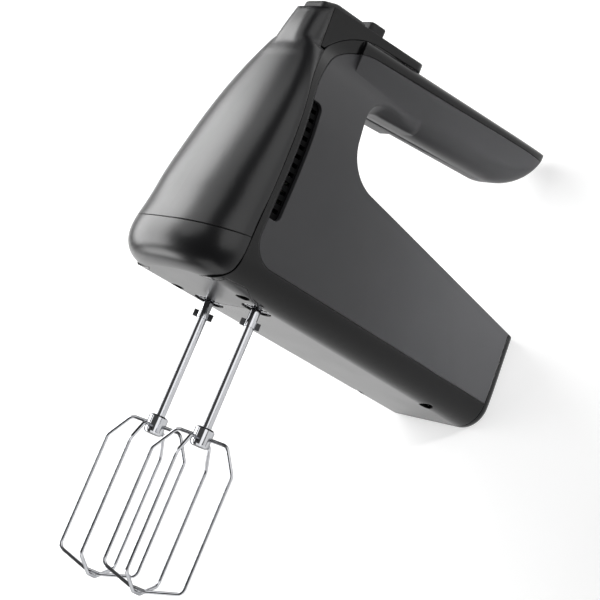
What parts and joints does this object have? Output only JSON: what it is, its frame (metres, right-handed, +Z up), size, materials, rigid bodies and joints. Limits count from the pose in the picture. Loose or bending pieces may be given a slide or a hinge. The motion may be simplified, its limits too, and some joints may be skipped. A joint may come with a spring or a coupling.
{
  "type": "hand mixer",
  "caption": "Hand-held kitchen mixer with a closed-front handle, wire beaters on a worm drive, a push-out ejector button and a sliding speed control.",
  "frame": {"origin": "centre of the flat rear face of the heel, on which the mixer stands when it is put down between uses", "axes": "+Z up from the heel to the nose; +X from the base towards the control deck, so the beaters point along -X; +Y to the user's right"},
  "size_m": [0.3127, 0.0826, 0.2171],
  "materials": {
    "housing_dark": "satin-gloss moulded charcoal",
    "housing_grey": "satin moulded grey",
    "housing_black": "moulded near-black",
    "vent_black": "matt black",
    "button_plastic": "matt dark grey",
    "frame_nylon": "natural filled nylon",
    "wheel_acetal": "moulded acetal",
    "board": "phenolic paper board",
    "bush_bronze": "sintered bronze",
    "copper": "enamelled winding",
    "lamination": "stacked electrical steel",
    "carbon": "pressed carbon",
    "steel": "turned steel",
    "chrome": "bright chromed steel",
    "rubber": "black rubber"
  },
  "bodies": {
    "housing": {"brush_holders": "bush_bronze", "carbon_brushes": "carbon", "chassis_shell": "housing_black", "control_board": "board", "control_housing": "housing_black", "cord_inlet_bush": "rubber", "ejector_guide": "frame_nylon", "ejector_spring": "steel", "field_coils": "copper", "frame_screws": "steel", "front_bearing": "bush_bronze", "front_fairing": "housing_dark", "gear_frame": "frame_nylon", "gear_frame_lid": "frame_nylon", "heel_cover": "housing_black", "housing_screws": "steel", "left_side_shell": "housing_grey", "left_vent_screen": "vent_black", "lower_spindle_bushes": "bush_bronze", "middle_bearing": "bush_bronze", "motor_bracket": "frame_nylon", "motor_leads": "rubber", "nose_cap": "housing_dark", "rear_bearing": "bush_bronze", "right_side_shell": "housing_grey", "right_vent_screen": "vent_black", "speed_switch": "frame_nylon", "stator_core": "lamination", "upper_spindle_bushes": "bush_bronze"},
    "armature": {"motor_shaft": "steel", "armature_core": "lamination", "armature_windings": "copper", "commutator": "copper", "cooling_fan": "frame_nylon"},
    "left_drive": {"left_spindle": "steel", "left_worm_wheel": "wheel_acetal"},
    "right_drive": {"right_spindle": "steel", "right_worm_wheel": "wheel_acetal"},
    "left_beater": {"left_beater_shaft": "chrome", "left_beater_hub": "chrome", "left_beater_outer_loop": "chrome", "left_beater_inner_loop": "chrome"},
    "right_beater": {"right_beater_shaft": "chrome", "right_beater_hub": "chrome", "right_beater_outer_loop": "chrome", "right_beater_inner_loop": "chrome"},
    "ejector": {"eject_button": "button_plastic", "ejector_fork": "frame_nylon"},
    "speed_control": {"speed_slider": "button_plastic"},
    "turbo_control": {"turbo_button": "button_plastic"}
  },
  "joints": [
    {"name": "armature_spin", "type": "hinge", "parent": "housing", "child": "armature", "pos_m": [0.00795, 0, 0.097], "axis": [0, 0, -1], "continuous": true},
    {"name": "left_spindle_spin", "type": "hinge", "parent": "housing", "child": "left_drive", "pos_m": [0.00795, -0.0192, 0.157], "axis": [1, 0, 0], "continuous": true},
    {"name": "right_spindle_spin", "type": "hinge", "parent": "housing", "child": "right_drive", "pos_m": [0.00795, 0.0192, 0.157], "axis": [1, 0, 0], "continuous": true},
    {"name": "left_beater_pull", "type": "slide", "parent": "left_drive", "child": "left_beater", "axis": [-1, 0, 0], "range_m": [-0.009, 0.034]},
    {"name": "right_beater_pull", "type": "slide", "parent": "right_drive", "child": "right_beater", "axis": [-1, 0, 0], "range_m": [-0.009, 0.034]},
    {"name": "eject_press", "type": "slide", "parent": "housing", "child": "ejector", "axis": [-1, 0, 0], "range_m": [0, 0.005], "stiffness_N_per_m": 300, "deforming": ["ejector_spring"]},
    {"name": "speed_slide", "type": "slide", "parent": "housing", "child": "speed_control", "axis": [0.0529, 0, -0.9986], "range_m": [0, 0.015]},
    {"name": "turbo_press", "type": "slide", "parent": "housing", "child": "turbo_control", "axis": [-0.9986, 0, -0.0529], "range_m": [0, 0.0015], "stiffness_N_per_m": 300}
  ],
  "couplings": [
    {"joint": "left_spindle_spin", "follows": "armature_spin", "ratio": 0.066667},
    {"joint": "right_spindle_spin", "follows": "armature_spin", "ratio": -0.066667}
  ]
}
